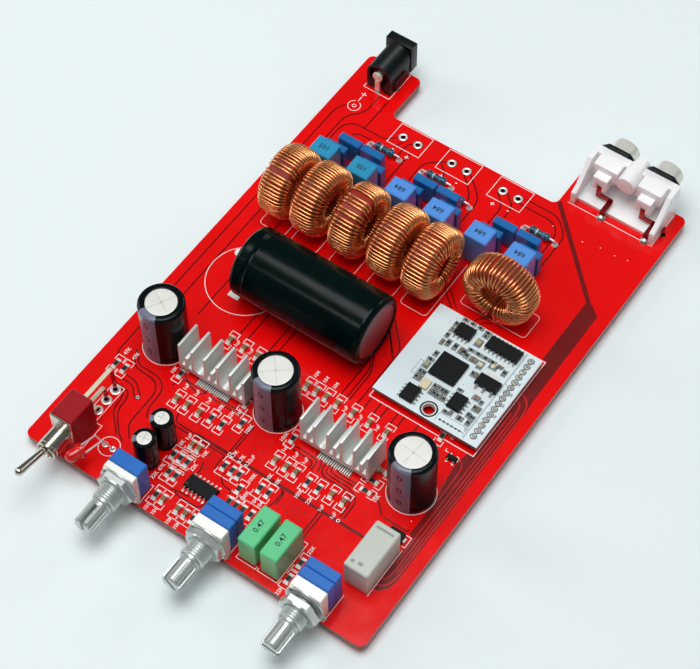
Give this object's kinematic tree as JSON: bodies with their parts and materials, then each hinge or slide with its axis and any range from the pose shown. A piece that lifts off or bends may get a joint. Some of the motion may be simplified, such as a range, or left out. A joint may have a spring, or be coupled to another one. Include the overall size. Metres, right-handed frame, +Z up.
{
  "type": "audio amplifier board",
  "caption": "Red amplifier circuit board with panel potentiometers, toggle switch, finned heat sinks, wound chokes, electrolytic capacitors, wireless module, power jack and phono sockets.",
  "frame": {"origin": "centre of the part's box, on the surface that its longest soldered lugs stand on", "axes": "+X along the front edge to the right, +Y from the controls to the connectors, +Z up"},
  "size_m": [0.1076, 0.1808, 0.0257],
  "materials": {
    "solder_mask": "glossy red solder mask on glass-fibre board",
    "solder": "bright tin solder",
    "red_moulding": "dark red moulded plastic",
    "nickel": "nickel plate",
    "tinned_metal": "tinned sheet metal and wire",
    "lamp_plastic": "tinted clear plastic",
    "blue_moulding": "blue moulded plastic",
    "zinc": "bright zinc plate",
    "green_coating": "dipped green coating",
    "relay_plastic": "off-white moulded plastic",
    "can_aluminium": "drawn aluminium can",
    "black_sleeve": "shrunk black sleeve",
    "core_paint": "painted powder core",
    "copper": "enamelled copper wire",
    "pale_blue_plastic": "glossy blue plastic box",
    "deep_blue_plastic": "glossy deep blue plastic box",
    "resistor_lacquer": "banded lacquer",
    "sink_aluminium": "satin extruded aluminium",
    "black_epoxy": "black moulded epoxy",
    "chip_ceramic": "brown ceramic",
    "white_mask": "white solder mask",
    "white_plastic": "white moulded plastic",
    "black_plastic": "black moulded plastic"
  },
  "bodies": {
    "board": {"circuit_board": "solder_mask", "solder_joints": "solder", "lug_joints": "solder", "toggle_body": "red_moulding", "toggle_bushing": "nickel", "toggle_terminals": "tinned_metal", "lamp_lens": "lamp_plastic", "lamp_leads": "tinned_metal", "pot_nuts": "zinc", "pot_washers": "zinc", "pot_terminals": "tinned_metal", "input_capacitor_left": "green_coating", "input_capacitor_right": "green_coating", "relay": "relay_plastic", "small_cans": "can_aluminium", "small_sleeves": "black_sleeve", "reservoir_can": "can_aluminium", "reservoir_sleeve": "black_sleeve", "reservoir_lugs": "tinned_metal", "choke_cores": "core_paint", "output_capacitors": "pale_blue_plastic", "damping_capacitors": "deep_blue_plastic", "damping_resistors": "resistor_lacquer", "heatsink_left": "sink_aluminium", "heatsink_right": "sink_aluminium", "integrated_circuits": "black_epoxy", "chip_resistors": "black_epoxy", "chip_capacitors": "chip_ceramic", "module_board": "white_mask", "module_chips": "black_epoxy", "module_header": "black_plastic", "phono_housing": "white_plastic", "phono_shells": "nickel", "phono_contacts": "tinned_metal", "phono_spacers": "black_plastic", "dc_jack_housing": "black_plastic", "dc_jack_contacts": "tinned_metal", "pot_left_body": "blue_moulding", "pot_left_bushing": "zinc", "main_can_left": "can_aluminium", "main_sleeve_left": "black_sleeve", "pot_middle_body": "blue_moulding", "pot_middle_bushing": "zinc", "main_can_middle": "can_aluminium", "main_sleeve_middle": "black_sleeve", "pot_right_body": "blue_moulding", "pot_right_bushing": "zinc", "main_can_right": "can_aluminium", "main_sleeve_right": "black_sleeve", "choke_winding_1": "copper", "choke_winding_2": "copper", "choke_winding_3": "copper", "choke_winding_4": "copper", "choke_winding_5": "copper", "choke_winding_6": "copper"},
    "pot_left_shaft": {"pot_left_shaft": "zinc"},
    "pot_middle_shaft": {"pot_middle_shaft": "zinc"},
    "pot_right_shaft": {"pot_right_shaft": "zinc"},
    "toggle_lever": {"toggle_lever": "nickel"}
  },
  "joints": [
    {"name": "left_turn", "type": "hinge", "parent": "board", "child": "pot_left_shaft", "pos_m": [-0.0213, -0.07535, 0.0098], "axis": [0, -1, 0], "range_deg": [-150, 150]},
    {"name": "middle_turn", "type": "hinge", "parent": "board", "child": "pot_middle_shaft", "pos_m": [0.0067, -0.07535, 0.0098], "axis": [0, -1, 0], "range_deg": [-150, 150]},
    {"name": "right_turn", "type": "hinge", "parent": "board", "child": "pot_right_shaft", "pos_m": [0.0368, -0.07535, 0.0098], "axis": [0, -1, 0], "range_deg": [-150, 150]},
    {"name": "toggle_throw", "type": "hinge", "parent": "board", "child": "toggle_lever", "pos_m": [-0.0426, -0.07407, 0.0105], "axis": [1, 0, 0], "range_deg": [0, 28]}
  ]
}
